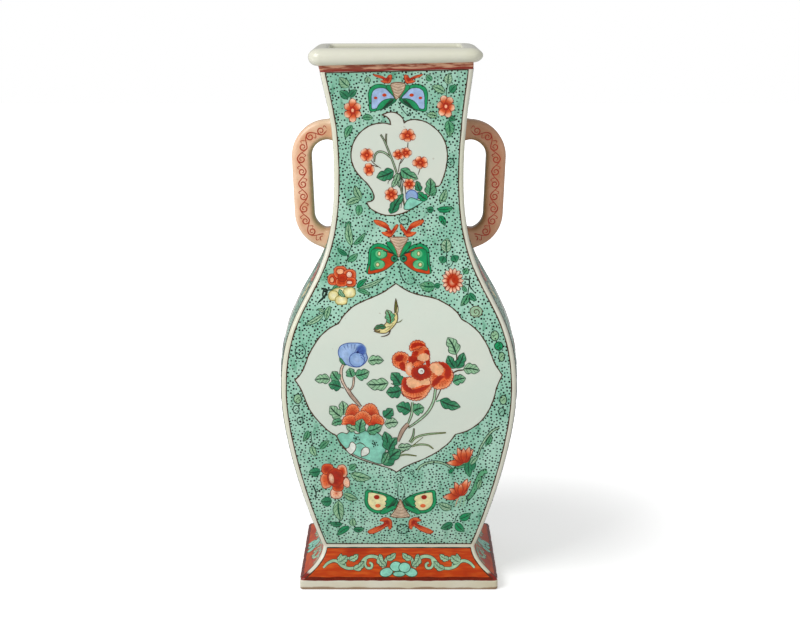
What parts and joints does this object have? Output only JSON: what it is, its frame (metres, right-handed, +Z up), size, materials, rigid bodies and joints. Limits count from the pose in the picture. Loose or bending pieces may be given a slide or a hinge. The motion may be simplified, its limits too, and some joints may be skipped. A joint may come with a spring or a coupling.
{
  "type": "rectangular vase",
  "caption": "Rectangular baluster flower vase with a waisted neck, rolled lip, squared loop handles at its ends and a splayed hollow foot, enamelled over a white glaze.",
  "frame": {"origin": "centre of the footprint on the plane the vase stands on", "axes": "+Z up; -Y towards the main decorated face; the handles are at -X and +X"},
  "size_m": [0.128, 0.0864, 0.286],
  "materials": {
    "white_glaze": "glossy greyish white glaze, unglazed on the foot rim",
    "green_enamel": "glossy stippled green enamel with painted panels, flowers and butterflies",
    "red_enamel": "iron-red enamel with reserved green scrolls over a white plinth",
    "salmon_enamel": "thin salmon enamel with an iron-red scroll"
  },
  "bodies": {
    "root": {"foot_front": "red_enamel", "foot_right": "red_enamel", "foot_back": "red_enamel", "foot_left": "red_enamel", "floor_slab": "white_glaze", "wall_front": "green_enamel", "wall_right": "green_enamel", "wall_back": "green_enamel", "wall_left": "green_enamel", "lip_front": "white_glaze", "lip_right": "white_glaze", "lip_back": "white_glaze", "lip_left": "white_glaze", "handle_right": "salmon_enamel", "handle_left": "salmon_enamel"}
  },
  "joints": []
}
